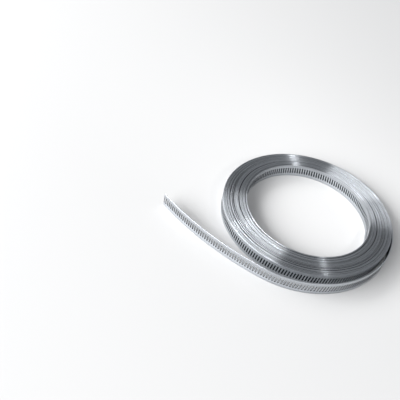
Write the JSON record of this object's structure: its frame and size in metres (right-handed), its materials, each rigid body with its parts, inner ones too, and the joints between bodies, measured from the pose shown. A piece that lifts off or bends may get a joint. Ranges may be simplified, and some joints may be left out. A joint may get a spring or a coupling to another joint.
{
  "type": "hose clip banding",
  "caption": "Slotted steel strip for hose clips, wound into a flat coil with an open bore, its last turn sprung loose and running out as a tail.",
  "frame": {"origin": "under the middle of the part's box, on the level the coil lies on", "axes": "+Z along the coil's axis, up from the level it lies on; +X away from the tail's cut end, along the longest extent"},
  "size_m": [0.1598, 0.154, 0.012],
  "materials": {
    "rolled_steel": "bright cold-rolled stainless steel, satin, with darker slots"
  },
  "bodies": {
    "root": {"banding_coil": "rolled_steel"}
  },
  "joints": []
}
